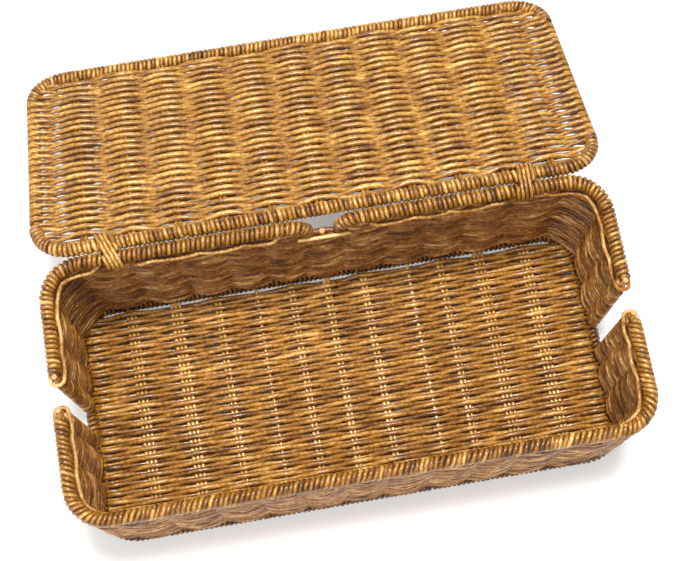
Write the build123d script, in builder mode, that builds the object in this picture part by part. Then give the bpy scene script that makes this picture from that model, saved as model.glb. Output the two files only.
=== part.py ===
from build123d import *

import os
from math import cos, pi, radians, sin, sqrt

# A woven cable management box: an oblong cord basket with a lead slot in each short
# side, a notch in its back rim, and a flat woven lid tied on by cord loops.
# X runs along the box, Y from front to back, Z up. The origin is the middle of the
# base, on the table. The lid is modelled open, hanging down behind the box.

# ---------------------------------------------------------------- driving dimensions
# Frame of the box, measured between rod centres, and how far its walls lean outwards
rim_length = 349.0
rim_depth = 158.6
rim_height = 103.4
end_lean = 5.0
side_lean = 2.3
corner_radius = 22.0

# Frame of the lid, and how far it reaches past the rim at each end and in front
lid_end_overhang = 2.1
lid_front_overhang = 1.7
lid_slope = 24.0

# Rods and cord
rim_rod = 3.8
wrap_thickness = 2.6
stake = 2.8
cord = 2.8
band_width = 7.3

# Flats round a rim, round a stake, and along a bend
rim_flats = 12
flats_per_stake = 6
bend_flats = 5

# Stakes on each side of the middle one, and from the last one to the corner's bend
long_stakes = 5
last_stake_inset = 10.5
side_stakes = 2
lid_stake_count = 5

# Lead openings
slot_width = 12.0
notch_width = 11.6
notch_bend = 13.0
rod_stub = 2.0
post_rise = 3.0

# Hinge ties, each between two stakes of the lid, as a count of the lid's stake pitches
left_tie_count = -4.42
right_tie_count = 4.32
tie_turns = 3
tie_facets = 6

# Clearances
seat_gap = 0.15
running_gap = 0.3
row_gap = 0.2
foot_width = 4.0

# ------------------------------------------------------------------- worked-out sizes
base_length = rim_length - 2 * end_lean
base_depth = rim_depth - 2 * side_lean
stake_pitch = (base_length / 2 - corner_radius - last_stake_inset) / long_stakes

lid_length = rim_length + 2 * lid_end_overhang
lid_depth = rim_depth + lid_front_overhang
lid_pitch = lid_length / 2 / (lid_stake_count + 1)
left_tie_place = left_tie_count * lid_pitch
right_tie_place = right_tie_count * lid_pitch

rim_radius = rim_rod / 2 + wrap_thickness
hoop_height = rim_radius * cos(pi / rim_flats)

# Rows of the base and lid end clear of the frame, whose flats lie a little inside each arc
bend_sag = corner_radius * (1 - cos(pi / 4 / bend_flats))
inner_edge = rim_radius + bend_sag + seat_gap

# A single stake, or a pair laid side by side, sets how far a row stands off
reach = (stake + cord) / 2 + seat_gap
pair_spread = (stake + seat_gap) / 2
pair_reach = reach + pair_spread * 2 * reach / stake_pitch
base_middle = pair_reach + cord / 2 - foot_width * pair_reach / stake_pitch

# The loops of the ties pass between each rim and the first row of the weave
tie_bore = rim_radius + running_gap
tie_radius = tie_bore + cord
tie_bore_corner = tie_bore / cos(pi / 2 / tie_facets)
tie_pass = tie_radius + running_gap
link_length = 2 * rim_radius + running_gap

hinge_y = rim_depth / 2
lid_axis = Vector(0, hinge_y + link_length, rim_height)
lid_normal = Vector(0, sin(radians(lid_slope)), cos(radians(lid_slope)))
lid_plane = Plane(origin=lid_axis, x_dir=(1, 0, 0), z_dir=lid_normal)

wall_bottom = hoop_height + rim_radius + seat_gap
wall_top = rim_height - tie_pass
wall_rows = int((wall_top - wall_bottom) / (band_width + row_gap))
wall_pitch = (wall_top - wall_bottom) / wall_rows
stake_top = rim_height - rim_radius - seat_gap

post_place = slot_width / 2 + cord + stake / 2 + seat_gap
rim_end = post_place + stake / 2 + seat_gap + rod_stub
notch_place = notch_width / 2 + rim_radius
notch_floor = wall_bottom + (wall_rows - 1) * wall_pitch

# A wall row leans away from its stakes by half its height
row_lean = max(abs(end_lean), abs(side_lean)) * wall_pitch / 2 / (rim_height - hoop_height)
wall_reach = reach + row_lean

# The top row of the back wall ends clear of the bend of the rim into the notch
bend_room = notch_bend - rim_radius - running_gap
row_rise = max(0.0, wall_top - rim_height + notch_bend)
notch_clear = notch_place + notch_bend - sqrt(max(0.0, bend_room**2 - row_rise**2))


def half_length(height):
    """Half the wall's length at a height, at the stakes' centres."""
    share = (height - hoop_height) / (rim_height - hoop_height)
    return (base_length + (rim_length - base_length) * share) / 2


def half_depth(height):
    """Half the wall's depth at a height, at the stakes' centres."""
    share = (height - hoop_height) / (rim_height - hoop_height)
    return (base_depth + (rim_depth - base_depth) * share) / 2


def spread(count, pitch):
    """Places of a row of stakes, the same number each side of a middle one."""
    return [number * pitch for number in range(-count, count + 1)]


def swing(place, stakes, first):
    """Which side of the stakes a row is on at a place, from -1 to 1, crossing between."""
    for number in range(len(stakes) - 1):
        if place <= stakes[number + 1]:
            share = (place - stakes[number]) / (stakes[number + 1] - stakes[number])
            side = first * (-1) ** number
            return side * (1 - 2 * share)
    return -first * (-1) ** len(stakes)


def band(stops, stakes, first, amount):
    """Outline of a straight row: cord thick, and standing off by amount at each stake."""
    middle = [(stop, amount * swing(stop, stakes, first)) for stop in stops]
    outer = [(stop, offset + cord / 2) for stop, offset in middle]
    inner = [(stop, offset - cord / 2) for stop, offset in reversed(middle)]
    return outer + inner


def inside_outline(length, depth):
    """Outline of the space inside a wrapped frame, its corners in equal flats."""
    inner_radius = corner_radius - inner_edge
    points = []
    for quarter, (side, end) in enumerate(((1, 1), (-1, 1), (-1, -1), (1, -1))):
        centre_x = side * (length / 2 - corner_radius)
        centre_y = end * (depth / 2 - corner_radius)
        for step in range(bend_flats + 1):
            angle = (quarter + step / bend_flats) * pi / 2
            points.append((centre_x + inner_radius * cos(angle), centre_y + inner_radius * sin(angle)))
    return points


def bent_rod(*points, radius):
    """Points along a rod through some corners, each bend in equal flats."""
    path = FilletPolyline(*points, radius=radius, mode=Mode.PRIVATE)
    places = [path @ 0]
    for edge in path.edges():
        steps = bend_flats if edge.geom_type == GeomType.CIRCLE else 1
        places += [edge @ (step / steps) for step in range(1, steps + 1)]
    return places


def rod_plane(foot, head):
    """Plane across the foot of a leaning rod, with the rod along its normal."""
    return Plane(origin=foot, x_dir=(1, 0, 0), z_dir=head - foot)


# ------------------------------------------------------------------------ bottom hoop
with BuildPart() as bottom_hoop:
    with BuildLine():
        hoop_path = Polyline(
            *bent_rod(
                (0, -base_depth / 2, hoop_height),
                (base_length / 2, -base_depth / 2, hoop_height),
                (base_length / 2, base_depth / 2, hoop_height),
                (0, base_depth / 2, hoop_height),
                radius=corner_radius,
            )
        )
    with BuildSketch(Plane(origin=hoop_path @ 0, z_dir=hoop_path % 0)):
        RegularPolygon(rim_radius, rim_flats, rotation=180 / rim_flats)
    sweep(path=hoop_path, transition=Transition.RIGHT)
    mirror(about=Plane.YZ)
bottom_hoop.part.label = "bottom_hoop"

# ------------------------------------------------------------------------------- base
base_half = base_depth / 2 - rim_radius - seat_gap
base_places = [
    place + side * pair_spread
    for place in spread(long_stakes, stake_pitch)
    for side in (-1, 1)
]

with BuildPart() as base_sticks:
    with BuildSketch(Plane.XZ.offset(-base_half)):
        with Locations(*[(place, base_middle) for place in base_places]):
            RegularPolygon(stake / 2, flats_per_stake)
    extrude(amount=2 * base_half)
base_sticks.part.label = "base_sticks"

base_pairs = int((base_half / (band_width + row_gap) - 0.5))
base_rows = 2 * base_pairs + 1
base_pitch = 2 * base_half / base_rows
base_stakes = spread(long_stakes + 1, stake_pitch)


def base_band(length, first):
    """Outline of a row of the base, pressed flat where it meets the table."""
    stops = [-length] + base_stakes[1:-1] + [length]
    outline = []
    for stop, offset in band(stops, base_stakes, first, pair_reach):
        if offset < -base_middle:
            outline.append((stop + foot_width / 2, -base_middle))
            outline.append((stop - foot_width / 2, -base_middle))
        else:
            outline.append((stop, offset))
    return outline


with BuildPart() as base_weave:
    for row in range(base_rows):
        far_side = base_half - row * base_pitch
        first = (-1) ** (row + base_pairs + long_stakes)
        with BuildSketch(Plane.XZ.offset(-far_side)):
            with Locations((0, base_middle)):
                Polygon(*base_band(base_length / 2 - inner_edge, first), align=None)
        extrude(amount=base_pitch - row_gap, clean=False)
    with BuildSketch():
        Polygon(*inside_outline(base_length, base_depth), align=None)
    extrude(amount=base_middle + pair_reach + cord, mode=Mode.INTERSECT, clean=False)
base_weave.part.label = "base_weave"

# -------------------------------------------------------------------- stakes of walls
front_foot = Vector(0, -half_depth(wall_bottom), wall_bottom)
front_head = Vector(0, -half_depth(stake_top), stake_top)
notched_places = [place for place in spread(long_stakes, stake_pitch) if abs(place) < notch_place]
whole_places = [place for place in spread(long_stakes, stake_pitch) if abs(place) >= notch_place]

with BuildPart() as front_wall_stakes:
    with BuildSketch(rod_plane(front_foot, front_head)):
        with Locations(*[(place, 0) for place in spread(long_stakes, stake_pitch)]):
            RegularPolygon(stake / 2, flats_per_stake)
    extrude(amount=(front_head - front_foot).length)
front_wall_stakes.part.label = "front_wall_stakes"

back_foot = Vector(0, half_depth(wall_bottom), wall_bottom)
back_head = Vector(0, half_depth(stake_top), stake_top)
notch_head = Vector(0, half_depth(notch_floor), notch_floor)

with BuildPart() as back_wall_stakes:
    with BuildSketch(rod_plane(back_foot, back_head)):
        with Locations(*[(place, 0) for place in whole_places]):
            RegularPolygon(stake / 2, flats_per_stake)
    extrude(amount=(back_head - back_foot).length)
    with BuildSketch(rod_plane(back_foot, notch_head)):
        with Locations(*[(place, 0) for place in notched_places]):
            RegularPolygon(stake / 2, flats_per_stake)
    extrude(amount=(notch_head - back_foot).length)
back_wall_stakes.part.label = "back_wall_stakes"

corner_lift = corner_radius * (1 - cos(pi / 4))
side_reach = base_depth / 2 - corner_lift
side_pitch = (side_reach - post_place) / (side_stakes + 1)
side_places = [post_place + (number + 1) * side_pitch for number in range(side_stakes)]


with BuildPart() as left_wall_stakes:
    for place in side_places:
        side_foot = Vector(-half_length(wall_bottom), -place, wall_bottom)
        side_head = Vector(-half_length(stake_top), -place, stake_top)
        with BuildSketch(rod_plane(side_foot, side_head)):
            RegularPolygon(stake / 2, flats_per_stake)
        extrude(amount=(side_head - side_foot).length)
    mirror(about=Plane.XZ)
left_wall_stakes.part.label = "left_wall_stakes"

with BuildPart() as right_wall_stakes:
    mirror(left_wall_stakes.part, about=Plane.YZ)
right_wall_stakes.part.label = "right_wall_stakes"

with BuildPart() as slot_posts:
    post_top = rim_height + post_rise
    post_foot = Vector(-half_length(wall_bottom), -post_place, wall_bottom)
    post_head = Vector(-half_length(post_top), -post_place, post_top)
    with BuildSketch(rod_plane(post_foot, post_head)):
        RegularPolygon(stake / 2, flats_per_stake)
    extrude(amount=(post_head - post_foot).length)
    mirror(about=Plane.XZ)
    mirror(about=Plane.YZ)
slot_posts.part.label = "slot_posts"

with BuildPart() as corner_stakes:
    corner_foot = Vector(
        corner_lift - half_length(wall_bottom),
        corner_lift - half_depth(wall_bottom),
        wall_bottom,
    )
    corner_head = Vector(
        corner_lift - half_length(stake_top),
        corner_lift - half_depth(stake_top),
        stake_top,
    )
    with BuildSketch(rod_plane(corner_foot, corner_head)):
        RegularPolygon(stake / 2, flats_per_stake)
    extrude(amount=(corner_head - corner_foot).length)
    mirror(about=Plane.XZ)
    mirror(about=Plane.YZ)
corner_stakes.part.label = "corner_stakes"

# --------------------------------------------------------------------- weave of walls
quarter_turn = corner_radius * pi / 4
wall_levels = [wall_bottom + number * wall_pitch for number in range(wall_rows)]
wall_band = wall_pitch - row_gap


def row_side(level):
    """Which side of the middle stake a wall row passes, in turn from row to row."""
    return (-1) ** round((level - wall_bottom) / wall_pitch)


def long_row(level, facing):
    """A straight row of the front wall (facing -1) or of the back wall (facing 1)."""
    middle = level + wall_band / 2
    end = half_length(middle) - corner_radius
    stakes = spread(long_stakes, stake_pitch)
    stakes = [-end - quarter_turn] + stakes + [end + quarter_turn]
    stops = [-end] + stakes[1:-1] + [end]
    first = row_side(level) * (-1) ** (long_stakes + 1)
    outline = band(stops, stakes, first, wall_reach)
    return [(place, facing * (half_depth(middle) + offset)) for place, offset in outline]


with BuildPart() as front_wall_weave:
    for level in wall_levels:
        with BuildSketch(Plane.XY.offset(level)):
            Polygon(*long_row(level, -1), align=None)
        extrude(amount=wall_band, clean=False)
front_wall_weave.part.label = "front_wall_weave"

with BuildPart() as back_wall_weave:
    for level in wall_levels:
        with BuildSketch(Plane.XY.offset(level)):
            Polygon(*long_row(level, 1), align=None)
        extrude(amount=wall_band, clean=False)
    with BuildSketch(Plane.XY.offset(notch_floor - row_gap / 2)):
        with Locations((0, hinge_y)):
            Rectangle(2 * notch_clear, rim_depth / 2)
    extrude(amount=rim_height, mode=Mode.SUBTRACT, clean=False)
back_wall_weave.part.label = "back_wall_weave"


def corner_row(level):
    """A row round the front left corner, bent over the corner stake."""
    middle = level + wall_band / 2
    long_end = half_length(middle) - corner_radius
    side_end = half_depth(middle) - corner_radius
    places = [
        -(long_end - long_stakes * stake_pitch),
        quarter_turn,
        2 * quarter_turn + side_end - side_places[-1],
    ]
    first = row_side(level) * (-1) ** long_stakes
    steps = 4
    outer = []
    inner = []
    for step in range(steps + 1):
        angle = step * pi / 2 / steps
        offset = wall_reach * swing(corner_radius * angle, places, first)
        for line, radius in (
            (outer, corner_radius + offset + cord / 2),
            (inner, corner_radius + offset - cord / 2),
        ):
            line.append((-long_end - radius * sin(angle), -side_end - radius * cos(angle)))
    return outer + inner[::-1]


with BuildPart() as corner_weave:
    for level in wall_levels:
        with BuildSketch(Plane.XY.offset(level)):
            Polygon(*corner_row(level), align=None)
        extrude(amount=wall_band, clean=False)
    mirror(about=Plane.XZ)
    mirror(about=Plane.YZ)
corner_weave.part.label = "corner_weave"


def side_row(level):
    """A row of the left wall in front of its slot, turned round the slot post."""
    middle = level + wall_band / 2
    end = half_depth(middle) - corner_radius
    stakes = [post_place] + side_places + [end + quarter_turn]
    side = row_side(level) * (-1) ** (long_stakes + side_stakes)
    outline = band(stakes[:-1] + [end], stakes, side, wall_reach)
    count = len(stakes)
    outer = outline[:count]
    inner = outline[count:]
    hook = wall_reach / cos(pi / 8)
    turn_outer = []
    turn_inner = []
    for step in (1, 2):
        angle = step * pi / 4
        for line, radius in ((turn_outer, hook + cord / 2), (turn_inner, hook - cord / 2)):
            line.append((post_place - radius * sin(angle), side * radius * cos(angle)))
    if side < 0:
        turn_outer, turn_inner = turn_inner, turn_outer
    outline = turn_outer[::-1] + outer + inner + turn_inner
    return [(-half_length(middle) - offset, -place) for place, offset in outline]


with BuildPart() as left_front_wall_weave:
    for level in wall_levels:
        with BuildSketch(Plane.XY.offset(level)):
            Polygon(*side_row(level), align=None)
        extrude(amount=wall_band, clean=False)
left_front_wall_weave.part.label = "left_front_wall_weave"

with BuildPart() as left_back_wall_weave:
    mirror(left_front_wall_weave.part, about=Plane.XZ)
left_back_wall_weave.part.label = "left_back_wall_weave"

with BuildPart() as right_front_wall_weave:
    mirror(left_front_wall_weave.part, about=Plane.YZ)
right_front_wall_weave.part.label = "right_front_wall_weave"

with BuildPart() as right_back_wall_weave:
    mirror(left_back_wall_weave.part, about=Plane.YZ)
right_back_wall_weave.part.label = "right_back_wall_weave"

# ---------------------------------------------------------------------------- box rim
with BuildPart() as front_rim:
    with BuildLine():
        front_path = Polyline(
            *bent_rod(
                (-rim_length / 2, -rim_end, rim_height),
                (-rim_length / 2, -rim_depth / 2, rim_height),
                (0, -rim_depth / 2, rim_height),
                radius=corner_radius,
            )
        )
    with BuildSketch(Plane(origin=front_path @ 0, z_dir=front_path % 0)):
        RegularPolygon(rim_radius, rim_flats, rotation=180 / rim_flats)
    sweep(path=front_path, transition=Transition.RIGHT)
    with BuildSketch(Plane(origin=front_path @ 0, z_dir=-(front_path % 0))):
        RegularPolygon(rim_rod / 2, rim_flats)
    extrude(amount=rod_stub)
    mirror(about=Plane.YZ)
front_rim.part.label = "front_rim"

with BuildPart() as left_back_rim:
    with BuildLine():
        back_path = Polyline(
            *bent_rod(
                (-rim_length / 2, rim_end, rim_height),
                (-rim_length / 2, rim_depth / 2, rim_height),
                (-notch_place, rim_depth / 2, rim_height),
                (-notch_place, rim_depth / 2, notch_floor + rod_stub + seat_gap),
                radius=[corner_radius, notch_bend],
            )
        )
    with BuildSketch(Plane(origin=back_path @ 0, z_dir=back_path % 0)):
        RegularPolygon(rim_radius, rim_flats, rotation=180 / rim_flats)
    sweep(path=back_path, transition=Transition.RIGHT)
    with BuildSketch(Plane(origin=back_path @ 0, z_dir=-(back_path % 0))):
        RegularPolygon(rim_rod / 2, rim_flats)
    extrude(amount=rod_stub)
    with BuildSketch(Plane(origin=back_path @ 1, z_dir=back_path % 1)):
        RegularPolygon(rim_rod / 2, rim_flats)
    extrude(amount=rod_stub)
left_back_rim.part.label = "left_back_rim"

with BuildPart() as right_back_rim:
    mirror(left_back_rim.part, about=Plane.YZ)
right_back_rim.part.label = "right_back_rim"

# -------------------------------------------------------------------------------- lid
with BuildPart() as lid_rim:
    with BuildLine():
        lid_path = Polyline(
            *bent_rod(
                lid_plane.from_local_coords((0, 0, 0)),
                lid_plane.from_local_coords((lid_length / 2, 0, 0)),
                lid_plane.from_local_coords((lid_length / 2, lid_depth, 0)),
                lid_plane.from_local_coords((0, lid_depth, 0)),
                radius=corner_radius,
            )
        )
    with BuildSketch(Plane(origin=lid_path @ 0, x_dir=lid_normal, z_dir=lid_path % 0)):
        RegularPolygon(rim_radius, rim_flats, rotation=180 / rim_flats)
    sweep(path=lid_path, transition=Transition.RIGHT)
    mirror(about=Plane.YZ)
lid_rim.part.label = "lid_rim"

lid_places = [
    place + side * pair_spread
    for place in spread(lid_stake_count, lid_pitch)
    for side in (-1, 1)
]
lid_stake_end = rim_radius + seat_gap


def lid_cross_plane(distance):
    """Plane across the lid at a distance from its hinge rod, facing the hinge."""
    origin = lid_plane.from_local_coords((0, distance, 0))
    return Plane(origin=origin, x_dir=(1, 0, 0), z_dir=-lid_plane.y_dir)


with BuildPart() as lid_stakes:
    with BuildSketch(lid_cross_plane(lid_depth - lid_stake_end)):
        with Locations(*[(place, 0) for place in lid_places]):
            RegularPolygon(stake / 2, flats_per_stake)
    extrude(amount=lid_depth - 2 * lid_stake_end)
lid_stakes.part.label = "lid_stakes"

lid_start = tie_pass
lid_end = lid_depth - rim_radius - seat_gap
lid_rows = int((lid_end - lid_start) / (band_width + row_gap))
lid_row_pitch = (lid_end - lid_start) / lid_rows
lid_stake_line = spread(lid_stake_count + 1, lid_pitch)

lid_row_end = lid_length / 2 - inner_edge
lid_stops = [-lid_row_end] + lid_stake_line[1:-1] + [lid_row_end]

with BuildPart() as lid_weave:
    for row in range(lid_rows):
        far_side = lid_end - row * lid_row_pitch
        with BuildSketch(lid_cross_plane(far_side)):
            Polygon(*band(lid_stops, lid_stake_line, (-1) ** row, pair_reach), align=None)
        extrude(amount=lid_row_pitch - row_gap, clean=False)
    with BuildSketch(lid_plane):
        with Locations((0, lid_depth / 2)):
            Polygon(*inside_outline(lid_length, lid_depth), align=None)
    extrude(amount=pair_reach + cord, both=True, mode=Mode.INTERSECT, clean=False)
lid_weave.part.label = "lid_weave"

# ------------------------------------------------------------------------ hinge ties


def loop_outline(radius):
    """Outline of an oblong loop round both hinge rods, from its middle plane."""
    points = []
    for centre, start in ((link_length, -pi / 2), (0, pi / 2)):
        for step in range(tie_facets + 1):
            angle = start + step * pi / tie_facets
            points.append((hinge_y + centre + radius * cos(angle), rim_height + radius * sin(angle)))
    return points


def turn_planes(place):
    """Planes of the turns of cord of one hinge tie, side by side along the rods."""
    first_turn = place - tie_turns * (cord + row_gap) / 2
    return [Plane.YZ.offset(first_turn + turn * (cord + row_gap)) for turn in range(tie_turns)]


with BuildPart() as left_hinge_tie:
    with BuildSketch(*turn_planes(left_tie_place)):
        Polygon(*loop_outline(tie_radius), align=None)
        Polygon(*loop_outline(tie_bore_corner), align=None, mode=Mode.SUBTRACT)
    extrude(amount=cord)
left_hinge_tie.part.label = "left_hinge_tie"

with BuildPart() as right_hinge_tie:
    with BuildSketch(*turn_planes(right_tie_place)):
        Polygon(*loop_outline(tie_radius), align=None)
        Polygon(*loop_outline(tie_bore_corner), align=None, mode=Mode.SUBTRACT)
    extrude(amount=cord)
right_hinge_tie.part.label = "right_hinge_tie"

# ----------------------------------------------------------------------------- export
pieces = [
    bottom_hoop,
    base_sticks,
    base_weave,
    front_wall_stakes,
    back_wall_stakes,
    left_wall_stakes,
    right_wall_stakes,
    corner_stakes,
    slot_posts,
    front_wall_weave,
    back_wall_weave,
    corner_weave,
    left_front_wall_weave,
    left_back_wall_weave,
    right_front_wall_weave,
    right_back_wall_weave,
    front_rim,
    left_back_rim,
    right_back_rim,
    lid_rim,
    lid_stakes,
    lid_weave,
    left_hinge_tie,
    right_hinge_tie,
]
os.makedirs("parts", exist_ok=True)
for piece in pieces:
    export_step(piece.part, f"parts/{piece.part.label}.step")
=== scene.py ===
from math import cos, pi, radians, sin, tau

import bpy
import numpy as np
from mathutils import Matrix, Vector


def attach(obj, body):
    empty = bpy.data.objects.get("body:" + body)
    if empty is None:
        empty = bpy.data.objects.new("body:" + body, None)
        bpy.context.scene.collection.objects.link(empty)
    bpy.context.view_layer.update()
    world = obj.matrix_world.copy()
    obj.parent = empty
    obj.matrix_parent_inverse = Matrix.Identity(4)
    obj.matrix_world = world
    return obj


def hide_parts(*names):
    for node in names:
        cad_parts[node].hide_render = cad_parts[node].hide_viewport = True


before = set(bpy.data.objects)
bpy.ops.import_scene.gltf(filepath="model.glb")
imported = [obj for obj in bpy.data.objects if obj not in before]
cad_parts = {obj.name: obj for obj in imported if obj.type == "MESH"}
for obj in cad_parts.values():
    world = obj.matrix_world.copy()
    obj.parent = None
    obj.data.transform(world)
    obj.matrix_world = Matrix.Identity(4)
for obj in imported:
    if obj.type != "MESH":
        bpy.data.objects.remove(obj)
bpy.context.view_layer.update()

# Every length below is in millimetres, and becomes metres when a piece is made.
# X runs along the box, Y from front to back, Z up. The lid has its own plane: u along
# the box, v away from the rod that is tied to the box, w out of the lid's upper face.
MM = 0.001
chance = np.random.default_rng(11)

# ------------------------------------------------------------------- sizes of the frame
# The walls lean outwards from hoop to rim, and the lid reaches a little past the rim.
RIM_LENGTH, RIM_DEPTH, RIM_HEIGHT = 349.0, 158.6, 103.4
END_LEAN, SIDE_LEAN = 5.0, 2.3
BASE_LENGTH, BASE_DEPTH = RIM_LENGTH - 2 * END_LEAN, RIM_DEPTH - 2 * SIDE_LEAN
CORNER = 22.0
HOOP_HEIGHT = 4.1
LID_PAST_ENDS, LID_PAST_FRONT = 2.1, 1.7
LID_LENGTH, LID_DEPTH = RIM_LENGTH + 2 * LID_PAST_ENDS, RIM_DEPTH + LID_PAST_FRONT
LID_SLOPE = radians(24)
LINK = 9.3
HINGE_Y = RIM_DEPTH / 2
POST = 10.35
NOTCH, NOTCH_BEND, NOTCH_FLOOR = 10.3, 13.0, 87.6

# --------------------------------------------------------------- sizes of cord and reed
# radii of rods, stakes and cords, and how far a cord's middle lies from what it goes round
ROD, STAKE, STICK, LID_STICK, POST_REED, NOTCH_REED = 1.9, 1.4, 1.2, 1.25, 1.7, 1.9
WALL_CORD, WALL_REACH = 1.6, 2.15
BASE_CORD, BASE_REACH = 1.62, 2.3
LID_CORD, LID_REACH = 1.65, 2.35
BORDER_CORD = 1.25
WRAP_CORD, WRAP_REACH = 1.6, 2.96
HOOP_CORD, HOOP_REACH = 1.6, 2.4
TIE_CORD, TIE_REACH = 1.3, 6.1
# how much painted shade darkens a cord on the sides that touch its neighbours
PAINTED_CREVICE_SHADE = 0.42
# a cord's tone changes every so often, and one unit of its map is so long
PATCH_LENGTH, MAP_LENGTH = 9, 100
ROW_PITCH, BASE_PITCH = 2.65, 2.89
# how far apart the turns lie on the hoop, the front rim, the back rims and the lid's frame
HOOP_TURN, FRONT_TURN, BACK_TURN, LID_TURN = 3.2, 3.1, 3.05, 2.95

# Stakes across the box, and how many sticks lie together at each in the base. The
# weaver set them by eye, so they are not quite evenly spaced.
STAKES = (-134.7, -104.4, -76.0, -49.0, -25.3, -1.0, 24.0, 55.0, 77.0, 104.0, 135.0)
STICKS = (3, 3, 2, 1, 2, 2, 2, 1, 2, 3, 3)
SIDE_STAKES = (27.0, 49.0)
LID_PITCH = LID_LENGTH / 12

# Where each tie crosses the box's rim, and how far it slants on its way to the lid
TIES = {"left": (-131.0, -3.2), "right": (127.1, 0.6)}
TIE_ROOM = 8.0


# --------------------------------------------------------------------------- materials
def linear(hex_colour):
    """An sRGB hex colour as the linear colour that a shader takes."""
    channels = [int(hex_colour[i:i + 2], 16) / 255 for i in (0, 2, 4)]
    return [c / 12.92 if c <= 0.04045 else ((c + 0.055) / 1.055) ** 2.4 for c in channels] + [1.0]


def add_node(tree, kind, settings=None, **links):
    """Adds a node, sets its properties and inputs, and links what is given by input name."""
    made = tree.nodes.new(kind)
    for name, value in (settings or {}).items():
        if isinstance(name, str) and hasattr(made, name):
            setattr(made, name, value)
        else:
            made.inputs[name].default_value = value
    for name, source in links.items():
        socket = int(name[1:]) if name[1:].isdigit() else name.replace("_", " ")
        tree.links.new(source, made.inputs[socket])
    return made


def new_tree(name):
    """A new material and its empty node tree."""
    material = bpy.data.materials.new(name)
    material.use_nodes = True
    material.node_tree.nodes.clear()
    return material, material.node_tree


def varnished_reed(name, deep, honey, straw, coat, uv="cord", fibres=(36.0, 5.0, 1.0)):
    """Reed twisted and dyed honey brown, then dipped in varnish: a sharp gloss over fine fibres."""
    material, tree = new_tree(name)
    # the tone holds each cord's own tone together with the painted light and painted shade laid with it
    tone = add_node(tree, "ShaderNodeAttribute", {"attribute_name": "tone"})
    # fibres about 2 mm round the cord and 3 mm along it, where the dye took unevenly
    skin = add_node(tree, "ShaderNodeUVMap", {"uv_map": uv})
    stretch = add_node(tree, "ShaderNodeMapping", {"Scale": fibres}, Vector=skin.outputs["UV"])
    fibre = add_node(tree, "ShaderNodeTexNoise", {"Scale": 1.0, "Detail": 3.0, "Roughness": 0.62},
                     Vector=stretch.outputs["Vector"])
    # blotches about 15 mm across, from the dye bath
    place = add_node(tree, "ShaderNodeTexCoord")
    blotch = add_node(tree, "ShaderNodeTexNoise", {"Scale": 70.0, "Detail": 2.0},
                      Vector=place.outputs["Object"])
    streaks = add_node(tree, "ShaderNodeMath", {"operation": "MULTIPLY_ADD", 1: 1.6, 2: -0.8},
                       _0=fibre.outputs["Fac"])
    patches = add_node(tree, "ShaderNodeMath", {"operation": "MULTIPLY_ADD", 1: 0.3, 2: -0.15},
                       _0=blotch.outputs["Fac"])
    both = add_node(tree, "ShaderNodeMath", {"operation": "ADD"},
                    _0=streaks.outputs[0], _1=patches.outputs[0])
    total = add_node(tree, "ShaderNodeMath", {"operation": "ADD"},
                     _0=tone.outputs["Fac"], _1=both.outputs[0])
    ramp = add_node(tree, "ShaderNodeValToRGB", Fac=total.outputs[0])
    stops = ramp.color_ramp.elements
    stops[0].position, stops[0].color = 0.0, linear(deep)
    stops[1].position, stops[1].color = 0.95, linear(straw)
    stops.new(0.5).color = linear(honey)
    ridges = add_node(tree, "ShaderNodeBump", {"Strength": 0.6, "Distance": 0.0005},
                      Height=fibre.outputs["Fac"])
    # IOR 1.5 is that of varnish; the coat is the skin it leaves
    shader = add_node(tree, "ShaderNodeBsdfPrincipled",
                      {"Roughness": 0.42, "IOR": 1.5, "Coat Weight": coat, "Coat Roughness": 0.14},
                      Base_Color=ramp.outputs["Color"], Normal=ridges.outputs["Normal"])
    add_node(tree, "ShaderNodeOutputMaterial", Surface=shader.outputs["BSDF"])
    return material


def cut_end_grain(name):
    """The sawn end of a reed: bare and matt, paler than its skin, with darker pores; its pale colour is
    partly painted light that lifts the ends out of the shade they stand in.
    """
    material, tree = new_tree(name)
    place = add_node(tree, "ShaderNodeTexCoord")
    # pores 0.3 mm apart are drawn 0.6 mm apart, so that they show
    pores = add_node(tree, "ShaderNodeTexVoronoi", {"Scale": 1600.0}, Vector=place.outputs["Object"])
    ramp = add_node(tree, "ShaderNodeValToRGB", Fac=pores.outputs["Distance"])
    stops = ramp.color_ramp.elements
    stops[0].position, stops[0].color = 0.1, linear("966238")
    stops[1].position, stops[1].color = 0.5, linear("DDAC80")
    shader = add_node(tree, "ShaderNodeBsdfPrincipled", {"Roughness": 0.75, "IOR": 1.45},
                      Base_Color=ramp.outputs["Color"])
    add_node(tree, "ShaderNodeOutputMaterial", Surface=shader.outputs["BSDF"])
    return material


# wound cord, on rims, hoop and ties: glossy honey turns, painted dark brown as shade where they meet
rim_reed = varnished_reed("varnished_reed_rim_wrap", "542C00", "9E681A", "E2B666", 0.5)
# the lid's rows: nearly as glossy, from dark brown to yellow straw
lid_reed = varnished_reed("varnished_reed_lid_weave", "5E3000", "A87220", "E2B75E", 0.45)
# the walls' rows: redder and more matt than the rest, and lighter, which is painted light against the shade
# inside the box
wall_reed = varnished_reed("varnished_reed_wall_weave", "643606", "B27632", "ECC07A", 0.2)
# the base's rows: the lid's honey brown, a little less yellow
base_reed = varnished_reed("varnished_reed_base_weave", "603404", "A87226", "E4B05E", 0.4)
# a straight reed keeps its own round skin, with streaks some 2 mm wide and 10 mm long
stick_reed = varnished_reed("varnished_round_reed_stick", "6A3C08", "B88030", "EFC274", 0.4,
                            uv="UVMap", fibres=(6.0, 22.0, 1.0))
end_grain = cut_end_grain("sawn_reed_end_grain")


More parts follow.
